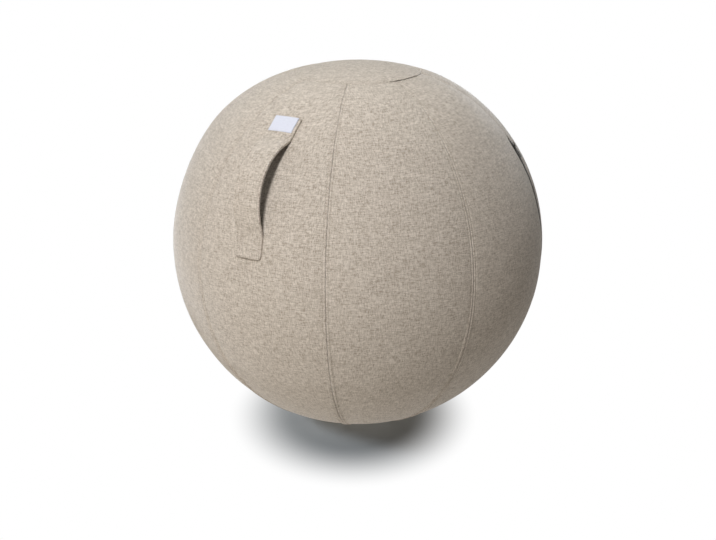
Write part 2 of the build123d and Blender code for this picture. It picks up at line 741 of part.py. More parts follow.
# Pull: it hangs from the pin in the slider's bail and lies along the zip
pull_pivot = slider_plane.origin + slider_out * (plate_top + bail_eye_height / 2)
pull_out = slider_out * cos(radians(pull_tilt)) - slider_up * sin(radians(pull_tilt))
pull_plane = Plane(origin=pull_pivot, x_dir=pull_out.cross(zip_plane.z_dir), z_dir=pull_out)
arm_inner = bail_half_width + pull_arm_clearance
arm_middle = arm_inner + pull_arm_width / 2
with BuildPart(pull_plane) as zip_pull:
    with BuildSketch(Plane(origin=pull_pivot, z_dir=zip_plane.z_dir)):
        Circle(pull_pin_radius)
    extrude(amount=arm_inner + pull_arm_width, both=True)
    for side in (-1, 1):
        with Locations((pull_neck / 2, side * arm_middle, 0)):
            Box(pull_neck, pull_arm_width, pull_thickness)
    with BuildSketch(pull_plane.offset(-pull_thickness / 2)):
        with Locations(((pull_neck + pull_length) / 2, 0)):
            RectangleRounded(pull_length - pull_neck, 2 * pull_half_width, pull_half_width / 2)
        with Locations((pull_length - pull_half_width - pull_slot_length / 2, 0)):
            SlotOverall(pull_slot_length, 2 * pull_slot_half_width, mode=Mode.SUBTRACT)
    extrude(amount=pull_thickness)
zip_pull.part.label = "zip_pull"
export_step(zip_pull.part, "parts/zip_pull.step")

lowest_slider = teeth_low + degrees(slider_length / 2 / zip_tape_radius)
print("ball centre height", round(centre_height, 3), "height of the ball", round(dome_z + dome_radius, 2))
lift_turn = bow_middle - bow_turn - low_lift
bow_length = radians(2 * bow_turn) * bow_radius - radians(2 * lift_turn) * handle_lift_radius
print("handle latitudes", round(low_lift, 3), round(high_lift, 3), round(high_end, 3), "bow length", round(bow_length, 1))
print("zip axis", zip_plane.z_dir, "slider travel", round(slider_latitude - lowest_slider, 2))
print("pull pivot", pull_pivot)
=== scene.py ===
from functools import partial
from math import asin, atan2, cos, exp, hypot, pi, radians, sin, sqrt

import bmesh
import bpy
from bpy.props import FloatProperty, FloatVectorProperty, PointerProperty
from mathutils import Matrix, Vector, noise


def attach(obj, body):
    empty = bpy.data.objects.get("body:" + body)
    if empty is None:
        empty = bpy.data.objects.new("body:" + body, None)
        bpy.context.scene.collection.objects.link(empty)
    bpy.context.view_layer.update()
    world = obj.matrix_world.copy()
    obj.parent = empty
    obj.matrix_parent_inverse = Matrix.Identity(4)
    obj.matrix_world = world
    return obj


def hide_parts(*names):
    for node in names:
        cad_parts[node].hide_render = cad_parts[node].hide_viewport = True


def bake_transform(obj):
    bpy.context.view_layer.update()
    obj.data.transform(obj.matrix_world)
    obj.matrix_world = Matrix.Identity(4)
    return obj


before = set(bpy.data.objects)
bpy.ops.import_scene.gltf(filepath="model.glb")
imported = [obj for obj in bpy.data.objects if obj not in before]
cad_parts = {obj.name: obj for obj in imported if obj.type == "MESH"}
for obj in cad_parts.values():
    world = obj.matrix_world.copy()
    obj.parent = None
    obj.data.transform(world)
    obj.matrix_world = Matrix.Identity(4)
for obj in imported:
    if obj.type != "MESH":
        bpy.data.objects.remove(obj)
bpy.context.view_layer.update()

bl_info = {
    "name": "Sitting ball",
    "version": (1, 0, 0),
    "blender": (4, 5, 0),
    "location": "3D View > Sidebar > Sitting ball",
    "description": "Dresses the sitting ball's frame with its sewn cover, strap, zip and studio",
    "category": "Object",
}

# Outline of the ball, in metres and radians, as in the part
BALL_RADIUS = 0.325
SHOULDER_LATITUDE = radians(50)
SHOULDER_RADIUS = 0.260
PATCH_RADIUS = 0.109
BASE_RADIUS = 0.078
FLAT_RADIUS = 0.088
FLOOR_ROUNDING = 0.030
CENTRE_Z = FLOOR_ROUNDING + sqrt((BALL_RADIUS - FLOOR_ROUNDING) ** 2 - FLAT_RADIUS**2)
SHOULDER_R = (BALL_RADIUS - SHOULDER_RADIUS) * cos(SHOULDER_LATITUDE)
SHOULDER_UP = (BALL_RADIUS - SHOULDER_RADIUS) * sin(SHOULDER_LATITUDE)
PATCH_SLOPE = asin((PATCH_RADIUS - SHOULDER_R) / SHOULDER_RADIUS)
DOME_RADIUS = PATCH_RADIUS / sin(PATCH_SLOPE)
DOME_UP = SHOULDER_UP + (SHOULDER_RADIUS - DOME_RADIUS) * cos(PATCH_SLOPE)
PATCH_LATITUDE = atan2(DOME_UP + DOME_RADIUS * cos(PATCH_SLOPE), PATCH_RADIUS)
ROUNDING_LATITUDE = atan2(FLOOR_ROUNDING - CENTRE_Z, FLAT_RADIUS)
FLAT_LATITUDE = atan2(-CENTRE_Z, FLAT_RADIUS)
CENTRE = Vector((0, 0, CENTRE_Z))

# Gores and seams
GORE_COUNT = 8
GORE_ANGLE = 2 * pi / GORE_COUNT
GORE_LENGTH = 0.83
GORE_ROW_STEP = 0.006
GORE_COLUMN_STEP = 0.013
FIRST_SEAM = radians(-110.7)
SEAM_HALF_GAP = 0.00015
TOP_RADIUS = PATCH_RADIUS + SEAM_HALF_GAP
TOP_UP = SHOULDER_UP + sqrt(SHOULDER_RADIUS**2 - (TOP_RADIUS - SHOULDER_R) ** 2)
GORE_TOP = atan2(TOP_UP, TOP_RADIUS)
GORE_FOOT = atan2(-CENTRE_Z, BASE_RADIUS + SEAM_HALF_GAP)
CLOTH_THICKNESS = 0.0012
FLOOR_CLEARANCE = 0.0001
FINE_STEPS = (0.0, 0.0004, 0.0008, 0.0013, 0.0019, 0.0026, 0.0034, 0.0040)
FINE_STEPS += (0.0045, 0.0050, 0.0058, 0.0072, 0.0095, 0.013, 0.018)
PANEL_FINE_STEPS = 13
PATCH_TURNS = 160
BASE_TURNS = 96

# Slow relief of the cover; a hump has a middle and a reach
UNEVEN_LIFT = 0.0005
UNEVEN_SCALE = 5.0
UNEVEN_LATITUDES = (radians(-68), radians(-45))
FULLER_LIFT = 0.006
FULLER_HUMP = (0, radians(14))
FULLER_GORE = 3
FULLER_GORE_LIFT = 0.012
FULLER_GORE_HUMP = (radians(52), radians(15))
SWELL_REACH = 0.011
SWELL_LATITUDES = (FLAT_LATITUDE, radians(-60))
PATCH_LIFT = 0.0002
LOOSE_LIFT = 0.0026
LOOSE_HUMP = (radians(-2), radians(24))

# Relief beside a seam, by the distance from it
FOLD_REACH = 0.0012
ZIP_FOLD_DEPTH = 0.0003
PATCH_FOLD_DEPTH = 0.0002
RIDGE_LIFT = 0.0002
RIDGE_HUMP = (0.0024, 0.0012)
PRESS_DEPTH = 0.0006
PRESS_HUMP = (0.0045, 0.0008)
PUCKER_LIFT = 0.0003
PUCKER_LENGTH = 0.009
PUCKER_WIDTH = 0.02
PUCKER_REACH = 0.008
PUCKER_SHIFT = 1000
BAND_LIFT = 0.0015
BAND_SLOPE = (0.0064, 0.0040)
PARTED_DEPTH = 0.0016
PARTED_REACH = 0.0012
SLACK_LATITUDES = (radians(2), radians(-28))
PARTED_LATITUDES = (radians(-34), radians(-46))

# Noise of the yarns
YARN_GAP = 5.17
WARP_SHIFT = 3.1
WEFT_SHIFT = 8.7

# Stitches
STITCH_SHARE = 0.78
STITCH_WIDTH = 0.0007
STITCH_HEIGHT = 0.0006
STITCH_TILT = 0.07
STITCH_LIFT = 0.0001
ROWS_LOW_END = radians(-72)
ROWS_HIGH_INSET = 0.002

# Zip in one of the seams
ZIP_SEAM = 3
ZIP_SHIFT = radians(2)
ZIP_LOW = radians(-51.7)
ZIP_HIGH = radians(36.2)
ZIP_SLOT_HALF = 0.0062
ZIP_SLOT_STEP = (0.012, 0)
ZIP_SINK_DEPTH = 0.0018
ZIP_SINK_HUMP = (0, 0.014)
ZIP_SINK_STEP = (0.03, 0.06)
ZIP_TAPE_REACH = 0.3231
ZIP_TAPE_LIFT = 0.0003
ZIP_TAPE_NEAR = 0.0037
ZIP_TAPE_BEND = 0.0051
ZIP_TAPE_FAR = 0.019
ZIP_TAPE_GAP = 0.0003
ZIP_TAPE_THICKNESS = 0.0006

# Carry strap on the side of -Y, held and free at two distances from the centre
STRAP_SEAT = BALL_RADIUS + 0.0003
STRAP_THICKNESS = 0.0044
STRAP_HALF = 0.026
STRAP_LOW_SEWN = 0.031
STRAP_SPAN = 0.182
STRAP_HIGH_SEWN = 0.035
STRAP_LOW_END = radians(7.7)
STRAP_LOW_LIFT = STRAP_LOW_END + STRAP_LOW_SEWN / BALL_RADIUS
STRAP_HIGH_LIFT = STRAP_LOW_LIFT + STRAP_SPAN / BALL_RADIUS
STRAP_HIGH_END = STRAP_HIGH_LIFT + STRAP_HIGH_SEWN / BALL_RADIUS
STRAP_MIDDLE = (STRAP_LOW_LIFT + STRAP_HIGH_LIFT) / 2
STRAP_BOW = 0.0315
LIFT_RADIUS = 0.040
LIFT_REACH = STRAP_SEAT + LIFT_RADIUS
HALF_SPAN = (STRAP_HIGH_LIFT - STRAP_LOW_LIFT) / 2
LIFT_SIDE = LIFT_REACH * sin(HALF_SPAN)
LIFT_RISE = LIFT_REACH * cos(HALF_SPAN) - STRAP_SEAT - STRAP_BOW
BOW_RADIUS = (LIFT_SIDE**2 + LIFT_RISE**2 - LIFT_RADIUS**2) / (2 * (LIFT_RADIUS - LIFT_RISE))
BOW_REACH = STRAP_SEAT + STRAP_BOW - BOW_RADIUS
BOW_TURN = asin(LIFT_SIDE / (LIFT_RADIUS + BOW_RADIUS))
STRAP_TURN = STRAP_MIDDLE - BOW_TURN - STRAP_LOW_LIFT
STRAP_ARCS = (
    ((0.0, 0.0), STRAP_SEAT, STRAP_LOW_END, STRAP_LOW_LIFT - STRAP_LOW_END, 1),
    ((LIFT_REACH, STRAP_LOW_LIFT), LIFT_RADIUS, STRAP_LOW_LIFT + pi, STRAP_TURN, -1),
    ((BOW_REACH, STRAP_MIDDLE), BOW_RADIUS, STRAP_MIDDLE - BOW_TURN, 2 * BOW_TURN, 1),
    ((LIFT_REACH, STRAP_HIGH_LIFT), LIFT_RADIUS, STRAP_HIGH_LIFT + pi - STRAP_TURN, STRAP_TURN, -1),
    ((0.0, 0.0), STRAP_SEAT, STRAP_HIGH_LIFT, STRAP_HIGH_END - STRAP_HIGH_LIFT, 1),
)
STRAP_LENGTH = sum(radius * abs(sweep) for _, radius, _, sweep, _ in STRAP_ARCS)
LOW_TAB = STRAP_SEAT * (STRAP_LOW_LIFT - STRAP_LOW_END)
HIGH_TAB = STRAP_LENGTH - STRAP_SEAT * (STRAP_HIGH_END - STRAP_HIGH_LIFT)

# The strap's skin, thread rows, webbing and label
STRAP_STEP = 0.004
STRAP_PARTS = (-0.985, -0.95, -0.91, -0.885, -0.86, -0.835, -0.80, -0.7, -0.55, -0.35, -0.12)
STRAP_EDGE = ((0.995, 0.80), (1.0, 0.5), (0.995, 0.2))
STRAP_SEWN_STEP = (0.004, 0.03)
STRAP_FILL = 0.0005
STRAP_PRESS = 0.0005
STRAP_ROW_INSET = 0.004
STRAP_PRESS_HUMP = (STRAP_ROW_INSET, 0.0010)
STRAP_ROW_START = 0.003
STRAP_ROW_PAST = 0.001
STRAP_CROSS_ROW = 0.0028
STRAP_CROSS_HALF = 0.021
STRAP_PITCH_SHARE = 0.9
LOW_CORNER = 0.0065
HIGH_CORNER = 0.002
END_HEIGHT = 0.8
END_REACH = 0.0022
WAVE_LIFT = 0.0006
WAVE_LENGTH = 0.06
WAVE_ACROSS = 1.3
WAVE_SHIFT = 4.0
WAVE_ENDS = (0.03, 0.06)
UNDERSIDE_SHIFT = 0.2
WEBBING_HALF = 0.020
WEBBING_TOP = 0.0030
WEBBING_THICKNESS = 0.0016
WEBBING_END_MARGIN = 0.003
LABEL_HALF = 0.0235
LABEL_LENGTH = 0.031
LABEL_SHIFT = -0.002
LABEL_END_MARGIN = 0.0005
LABEL_LIFT = 0.001
LABEL_PUFF = 0.0003
LABEL_PUFF_REACH = 0.006
LABEL_THICKNESS = 0.0006

# Camera, seen from the right of the strap
CAMERA_TURN = radians(33.57)
CAMERA_RISE = radians(15.45)
CAMERA_REACH = 3.263
CAMERA_LENS = 92.5
CAMERA_AIM_DROP = 0.0556
TO_CAMERA = Vector((sin(CAMERA_TURN), -cos(CAMERA_TURN), 0))
TO_RIGHT = Vector((cos(CAMERA_TURN), sin(CAMERA_TURN), 0))

# Floor, its shadow and the light that it sends up
FLOOR_DROP = 0.0005
FLOOR_COLOR = (0.33, 0.37, 0.41, 1)
SHADOW_PLACE = TO_CAMERA * 0.028 + TO_RIGHT * -0.009
SHADOW_SIZE = (0.226, 0.362, 1)
SHADOW_CORE = 0.47
BOUNCE_COLOR = (1, 0.97, 0.93, 1)
BOUNCE_SIDES = (-0.5, 0.3)

# Settings


def linear(*display):
    """Scene colour of an 8-bit display colour that is not nearly black."""
    return tuple(((level / 255 + 0.055) / 1.055) ** 2.4 for level in display)


TAPE_COLOR = linear(146, 139, 129)


def length_setting(name, description, default, precision=4):
    """Setting in metres."""
    values = {"name": name, "description": description, "default": default}
    return FloatProperty(**values, unit="LENGTH", precision=precision)


def color_setting(name, description, *display):
    """Setting of a colour, in 8-bit display values."""
    return FloatVectorProperty(name=name, description=description, subtype="COLOR", default=linear(*display))


def level_setting(name, description, default, unit="NONE"):
    """Setting of a light's level."""
    return FloatProperty(name=name, description=description, default=default, unit=unit)


class CoverSettings(bpy.types.PropertyGroup):
    """Cloth and sewing of the cover."""

    yarn_pitch: length_setting("Yarn pitch", "Distance between neighbouring yarns", 0.00105, 5)
    fold_depth: length_setting("Fold depth", "How far the folded edges sink at a seam", 0.0005)
    swell: length_setting("Swell", "How far a gore swells between its seams", 0.0009)
    stitch_offset: length_setting("Stitch offset", "Distance of a thread row from its seam", 0.0045)
    stitch_pitch: length_setting("Stitch pitch", "Length of one stitch with its gap", 0.0044)
    dark_yarn: color_setting("Dark yarn", "Darkest yarns of the melange", 162, 149, 134)
    main_yarn: color_setting("Main yarn", "Main colour of the melange", 197, 185, 170)
    light_yarn: color_setting("Light yarn", "Lightest yarns of the melange", 219, 208, 194)
    # Painted shade: the strap's underside is coloured dark brown to deepen the shade in the gap under the
    # bowed strap
    painted_underside_shade: color_setting("Painted_shade", "Colour of the strap's underside", 58, 46, 38)
    thread: color_setting("Thread", "Colour of the sewing thread", 166, 153, 138)


class TrimSettings(bpy.types.PropertyGroup):
    """Label, zip and inner layers."""

    label: color_setting("Label", "Colour of the blank woven label", 215, 216, 225)
    zip_cloth: color_setting("Zip tape", "Colour of the zip's tapes", 62, 56, 50)
    zip_plastic: color_setting("Zip teeth", "Colour of the zip's teeth and stops", 48, 44, 40)
    zip_metal: color_setting("Zip slider", "Colour of the slider and its pull", 70, 66, 61)
    inner_ball: color_setting("Inner ball", "Colour of the inflated ball", 116, 118, 121)


class StageSettings(bpy.types.PropertyGroup):
    """Lamps and floor."""

    key_power: level_setting("Key lamp", "Power of the small lamp in front", 46, "POWER")
    side_power: level_setting("Side lamp", "Power of the lamp at the left", 8, "POWER")
    top_power: level_setting("Top lamp", "Power of the lamp overhead", 33, "POWER")
    low_power: level_setting("Floor lamp", "Power of the lamp on the floor alone", 60, "POWER")
    floor_lit: level_setting("Lit floor", "Light that the floor sends up at the left", 1.06)
    floor_dim: level_setting("Dim floor", "Light that the floor sends up at the right", 0.5)
    world_level: level_setting("Room light", "Level of the even light from all sides", 0.02)


def settings():
    """The three groups of settings of the current scene."""
    scene = bpy.context.scene
    return scene.ball_cover, scene.ball_trim, scene.ball_stage


# Surface of the cover


def smooth(value, low, high):
    """Smooth step from 0 at low to 1 at high."""
    part = min(max((value - low) / (high - low), 0), 1)
    return part * part * (3 - 2 * part)


def between(value, low, high, outside, inside):
    """1 between two limits and 0 beyond, with a smooth step over each."""
    return smooth(value, low - outside, low + inside) * (1 - smooth(value, high - inside, high + outside))


def hump(value, middle, reach):
    """Smooth hump of height 1."""
    return exp(-(((value - middle) / reach) ** 2))


def circle_reach(latitude, centre_r, centre_up, radius):
    """Distance from the ball's centre to an arc of its outline."""
    toward = cos(latitude) * centre_r + sin(latitude) * centre_up
    return toward + sqrt(toward**2 - centre_r**2 - centre_up**2 + radius**2)


def outline_reach(latitude):
    """Distance from the ball's centre to its outline."""
    if latitude > PATCH_LATITUDE:
        return circle_reach(latitude, 0, DOME_UP, DOME_RADIUS)
    if latitude > SHOULDER_LATITUDE:
        return circle_reach(latitude, SHOULDER_R, SHOULDER_UP, SHOULDER_RADIUS)
    if latitude > ROUNDING_LATITUDE:
        return BALL_RADIUS
    if latitude > FLAT_LATITUDE:
        return circle_reach(latitude, FLAT_RADIUS, FLOOR_ROUNDING - CENTRE_Z, FLOOR_ROUNDING)
    return CENTRE_Z / -sin(latitude)


def outward(angle, latitude):
    """Unit vector out of the ball's centre."""
    return Vector((cos(angle) * cos(latitude), sin(angle) * cos(latitude), sin(latitude)))


FULLER_SIDE = outward(radians(-158.6), radians(42))


def body_relief(direction, latitude):
    """Slow unevenness of the stretched cover: one fuller side near the top and faint hollows."""
    fuller = FULLER_LIFT * hump(direction.angle(FULLER_SIDE), *FULLER_HUMP)
    uneven = UNEVEN_LIFT * noise.noise(direction * UNEVEN_SCALE)
    return (fuller + uneven) * smooth(latitude, *UNEVEN_LATITUDES)


def swell_relief(distance):
    """Swell of the stretched cloth away from its seams."""
    return settings()[0].swell * (1 - exp(-distance / SWELL_REACH))


def seam_relief(distance, along, fold_depth, slack=0.0, parted=0.0):
    """Shape of the cloth beside a sewn edge: folded in, ridged, pressed down under the thread row, puckered.

    Where the cloth is slack, the layers folded under the seam stand up as a band, which may be parted.
    """
    reach = FOLD_REACH + PARTED_REACH * parted
    fold = (fold_depth + PARTED_DEPTH * parted) * max(0, 1 - distance / reach) ** 2
    ridge = RIDGE_LIFT * hump(distance, *RIDGE_HUMP)
    pressed = PRESS_DEPTH * hump(distance, *PRESS_HUMP) * (1 - slack)
    place = (along / PUCKER_LENGTH, distance / PUCKER_WIDTH, fold_depth * PUCKER_SHIFT)
    pucker = PUCKER_LIFT * noise.noise(place) * exp(-distance / PUCKER_REACH)
    band = BAND_LIFT * slack * smooth(distance, *BAND_SLOPE)
    return ridge + pucker + band - fold - pressed


def seam_angle(number):
    """Angle round the ball of the seam that ends a gore; the zip's width shifts its own seam."""
    return FIRST_SEAM + number * GORE_ANGLE + (ZIP_SHIFT if number == ZIP_SEAM else 0)


def edge_inset(seam, latitude):
    """How far a gore's edge keeps from its seam: the zip stands in one of them."""
    if seam != ZIP_SEAM:
        return SEAM_HALF_GAP
    opened = between(latitude, ZIP_LOW, ZIP_HIGH, *ZIP_SLOT_STEP)
    return SEAM_HALF_GAP + (ZIP_SLOT_HALF - SEAM_HALF_GAP) * opened


def zip_sink(distance, latitude):
    """How far the cover sinks beside the zip's slot."""
    opened = between(latitude, ZIP_LOW, ZIP_HIGH, *ZIP_SINK_STEP)
    return ZIP_SINK_DEPTH * hump(distance, *ZIP_SINK_HUMP) * opened


def gore_edges(number, latitude):
    """Angles of a gore's two edges and its width, at a latitude."""
    ring = outline_reach(latitude) * cos(latitude)
    start = seam_angle(number - 1) + edge_inset(number - 1, latitude) / ring
    end = seam_angle(number) - edge_inset(number, latitude) / ring
    return start, end, (end - start) * ring


def gore_point(number, across, latitude):
    """Point of a gore, with its distances in the cloth from the gore's middle and from the equator."""
    cover = settings()[0]
    start, end, width = gore_edges(number, latitude)
    direction = outward(start + across * (end - start), latitude)
    along = latitude * BALL_RADIUS
    left = across * width
    right = width - left
    lift = body_relief(direction, latitude)
    for seam, distance in ((number - 1, left), (number, right)):
        if seam == ZIP_SEAM:
            fold_depth = ZIP_FOLD_DEPTH if ZIP_LOW < latitude < ZIP_HIGH else cover.fold_depth
            lift += seam_relief(distance, along + seam, fold_depth) - zip_sink(distance, latitude)
        else:
            slack = smooth(latitude, *SLACK_LATITUDES)
            parted = smooth(latitude, *PARTED_LATITUDES)
            lift += seam_relief(distance, along + seam, cover.fold_depth, slack, parted)
    lift += seam_relief((GORE_TOP - latitude) * BALL_RADIUS, left + number, cover.fold_depth)
    lift += swell_relief(min(left, right)) * smooth(latitude, *SWELL_LATITUDES)
    if number == FULLER_GORE:
        lift += FULLER_GORE_LIFT * across * (1 - across) * hump(latitude, *FULLER_GORE_HUMP)
    point = CENTRE + direction * (outline_reach(latitude) + lift)
    point.z = max(point.z, FLOOR_CLEARANCE)
    return point, (left - width / 2, along)


def graded(length, step):
    """Places along a length, close together at both ends, as fractions."""
    inner = length - 2 * FINE_STEPS[-1]
    count = max(int(inner / step), 1)
    places = list(FINE_STEPS)
    places += [FINE_STEPS[-1] + inner * k / count for k in range(1, count)]
    places += [length - d for d in reversed(FINE_STEPS)]
    return [p / length for p in places]


# Meshes


def finished(bm, name, material, smooth_shading=True):
    """Turns a bmesh into an object of the scene."""
    mesh = bpy.data.meshes.new(name)
    bm.to_mesh(mesh)
    bm.free()
    mesh.polygons.foreach_set("use_smooth", [smooth_shading] * len(mesh.polygons))
    mesh.materials.append(material)
    piece = bpy.data.objects.new(name, mesh)
    bpy.context.scene.collection.objects.link(piece)
    return piece


def chain(bm, points):
    """New vertices in a row, with the edges between them."""
    verts = [bm.verts.new(point) for point in points]
    return verts + [bm.edges.new(pair) for pair in zip(verts, verts[1:])]


def write_map(bm, places):
    """Writes each vertex's two distances in the cloth to the piece's map."""
    layer = bm.loops.layers.uv.new("Cloth")
    for face in bm.faces:
        for loop in face.loops:
            loop[layer].uv = places[loop.vert]


def cloth_sheet(bm, places, name, material, thickness):
    """Turns an open surface away from the ball and thickens it inwards; returns the piece and its area."""
    bmesh.ops.recalc_face_normals(bm, faces=bm.faces)
    bm.faces.ensure_lookup_table()
    probe = bm.faces[len(bm.faces) // 2]
    if probe.normal.dot(probe.calc_center_median() - CENTRE) < 0:
        bmesh.ops.reverse_faces(bm, faces=bm.faces)
    write_map(bm, places)
    area = sum(face.calc_area() for face in bm.faces)
    piece = finished(bm, name, material)
    wall = piece.modifiers.new("Thickness", "SOLIDIFY")
    wall.thickness = thickness
    wall.offset = -1
    return piece, area


def cloth_grid(columns, rows, name, material, thickness, shape):
    """Sheet from a grid; shape gives a point and its place in the cloth, for parts from -0.5 to 0.5."""
    bm = bmesh.new()
    bmesh.ops.create_grid(bm, x_segments=columns, y_segments=rows, size=0.5)
    places = {}
    for vert in bm.verts:
        vert.co, places[vert] = shape(vert.co.x, vert.co.y)
    return cloth_sheet(bm, places, name, material, thickness)[0]


# Materials


def link(tree, value, socket):
    """Joins a socket to another one, or sets a plain value on it."""
    if isinstance(value, bpy.types.NodeSocket):
        tree.links.new(value, socket)
    else:
        socket.default_value = value


def add_node(tree, kind, inputs, **choices):
    """Node with its choices, and with its inputs joined or set."""
    node = tree.nodes.new(kind)
    for name, choice in choices.items():
        setattr(node, name, choice)
    for key, value in inputs.items():
        link(tree, value, node.inputs[key])
    return node


def calc(tree, operation, *values):
    """Math node."""
    return add_node(tree, "ShaderNodeMath", dict(enumerate(values)), operation=operation).outputs[0]


def grain(tree, vector, scale, detail=2.0):
    """Noise texture's value."""
    inputs = {"Vector": vector, "Scale": scale, "Detail": detail}
    return add_node(tree, "ShaderNodeTexNoise", inputs).outputs["Fac"]


def joined(tree, x, y, z):
    """Vector of three values."""
    return add_node(tree, "ShaderNodeCombineXYZ", {0: x, 1: y, 2: z}).outputs[0]


def eased(tree, value, low, high, start=0.0, end=1.0):
    """Smooth step of a value, from start at low to end at high."""
    inputs = {"Value": value, "From Min": low, "From Max": high, "To Min": start, "To Max": end}
    return add_node(tree, "ShaderNodeMapRange", inputs, interpolation_type="SMOOTHSTEP").outputs["Result"]


def blended(tree, factor, first, second):
    """Mix of two shaders."""
    return add_node(tree, "ShaderNodeMixShader", {0: factor, 1: first, 2: second}).outputs[0]


def ramp(tree, factor, *stops):
    """Colour ramp through (place, colour) stops."""
    node = tree.nodes.new("ShaderNodeValToRGB")
    elements = node.color_ramp.elements
    while len(elements) < len(stops):
        elements.new(0.5)
    for element, (place, color) in zip(elements, stops):
        element.position = place
        element.color = (*color, 1)
    link(tree, factor, node.inputs["Fac"])
    return node.outputs["Color"]


def tone_stops(color, dark, light):
    """Stops of a colour ramp, from a darker to a lighter tone of a colour."""
    tones = [tuple(min(c * factor, 1) for c in color) for factor in (dark, 1, light)]
    return tuple(zip((0.3, 0.5, 0.7), tones))


def seen_directly(tree):
    """1 for rays from the camera and from mirroring or clear surfaces, else 0."""
    rays = tree.nodes.new("ShaderNodeLightPath")
    seen = calc(tree, "MAXIMUM", rays.outputs["Is Camera Ray"], rays.outputs["Is Glossy Ray"])
    return calc(tree, "MAXIMUM", seen, rays.outputs["Is Transmission Ray"])


def weave_group():
    """Plain weave of uneven yarns: the tone of the yarn on top, and the height of its round back."""
    group = bpy.data.node_groups.get("melange weave")
    if group:
        return group
    group = bpy.data.node_groups.new("melange weave", "ShaderNodeTree")
    for label, default in (("Across", 0), ("Along", 0), ("Pitch", 0.001), ("Slub", 0.12)):
        socket = group.interface.new_socket(label, in_out="INPUT", socket_type="NodeSocketFloat")
        socket.default_value = default
    for label in ("Tone", "Height"):
        group.interface.new_socket(label, in_out="OUTPUT", socket_type="NodeSocketFloat")
    given = group.nodes.new("NodeGroupInput")
    made = group.nodes.new("NodeGroupOutput")
    times = partial(calc, group, "MULTIPLY")
    slub, pitch = given.outputs["Slub"], given.outputs["Pitch"]
    across = calc(group, "DIVIDE", given.outputs["Across"], pitch)
    along = calc(group, "DIVIDE", given.outputs["Along"], pitch)
    warp = calc(group, "FLOOR", across)
    weft = calc(group, "FLOOR", along)
    warp_place = joined(group, times(warp, YARN_GAP), times(along, slub), WARP_SHIFT)
    weft_place = joined(group, times(across, slub), times(weft, YARN_GAP), WEFT_SHIFT)
    over = calc(group, "FLOORED_MODULO", calc(group, "ADD", warp, weft), 2.0)
    under = calc(group, "SUBTRACT", 1.0, over)
    tones, heights = [], []
    for side, place, on_top in ((across, warp_place, over), (along, weft_place, under)):
        back = calc(group, "ABSOLUTE", calc(group, "SINE", times(side, pi)))
        tones.append(times(grain(group, place, 1.0), on_top))
        heights.append(times(back, on_top))
    link(group, calc(group, "ADD", *tones), made.inputs["Tone"])
    link(group, calc(group, "ADD", *heights), made.inputs["Height"])
    return group


def new_material(name, **values):
    """Material with values on its Principled BSDF; returns the material, its tree and the shader."""
    material = bpy.data.materials.new(name)
    material.use_nodes = True
    shader = material.node_tree.nodes["Principled BSDF"]
    for label, value in values.items():
        shader.inputs[label.replace("_", " ")].default_value = value
    return material, material.node_tree, shader


def raise_bumps(tree, shader, height, distance, strength):
    """Bump node from a height to a shader's normal."""
    node = add_node(tree, "ShaderNodeBump", {"Distance": distance, "Strength": strength, "Height": height})
    link(tree, node.outputs["Normal"], shader.inputs["Normal"])


def object_place(tree):
    """Place in the shared frame."""
    return tree.nodes.new("ShaderNodeTexCoord").outputs["Object"]


def cloth_material(name, pitch, slub, stops, bump, sheen):
    """Woven cloth on a piece's own map."""
    material = bpy.data.materials.get(name)
    if material:
        return material
    values = {"Roughness": 0.92, "Specular_IOR_Level": 0.1, "Sheen_Weight": sheen, "Sheen_Roughness": 0.35}
    material, tree, shader = new_material(name, **values)
    given = add_node(tree, "ShaderNodeUVMap", {}, uv_map="Cloth")
    parts = add_node(tree, "ShaderNodeSeparateXYZ", {0: given.outputs["UV"]})
    inputs = {"Across": parts.outputs["X"], "Along": parts.outputs["Y"], "Pitch": pitch, "Slub": slub}
    weave = add_node(tree, "ShaderNodeGroup", inputs, node_tree=weave_group())
    link(tree, ramp(tree, weave.outputs["Tone"], *stops), shader.inputs["Base Color"])
    raise_bumps(tree, shader, weave.outputs["Height"], pitch * 0.25, bump)
    return material


def melange_cloth():
    """Cloth of the cover and of the strap."""
    cover = settings()[0]
    stops = ((0.38, cover.dark_yarn), (0.5, cover.main_yarn), (0.62, cover.light_yarn))
    return cloth_material("melange cloth", cover.yarn_pitch, slub=0.12, stops=stops, bump=0.5, sheen=0.45)


def grained_material(name, color, spread, scale, roughness, bump, metallic=0.0):
    """Finish with a fine grain in the shared frame, for moulded, needled, woven and lacquered pieces."""
    material = bpy.data.materials.get(name)
    if material:
        return material
    material, tree, shader = new_material(name, Metallic=metallic)
    place = object_place(tree)
    fine = grain(tree, place, scale, 3.0)
    worn = grain(tree, place, scale / 12, 2.0)
    times = partial(calc, tree, "MULTIPLY")
    mixed = calc(tree, "ADD", times(fine, 0.6), times(worn, 0.4))
    stops = tone_stops(color, 1 - spread, 1 + spread)
    link(tree, ramp(tree, mixed, *stops), shader.inputs["Base Color"])
    rough = calc(tree, "ADD", times(worn, 0.2), roughness - 0.1)
    link(tree, rough, shader.inputs["Roughness"])
    raise_bumps(tree, shader, fine, 0.0004, bump)
    return material


# Stitches


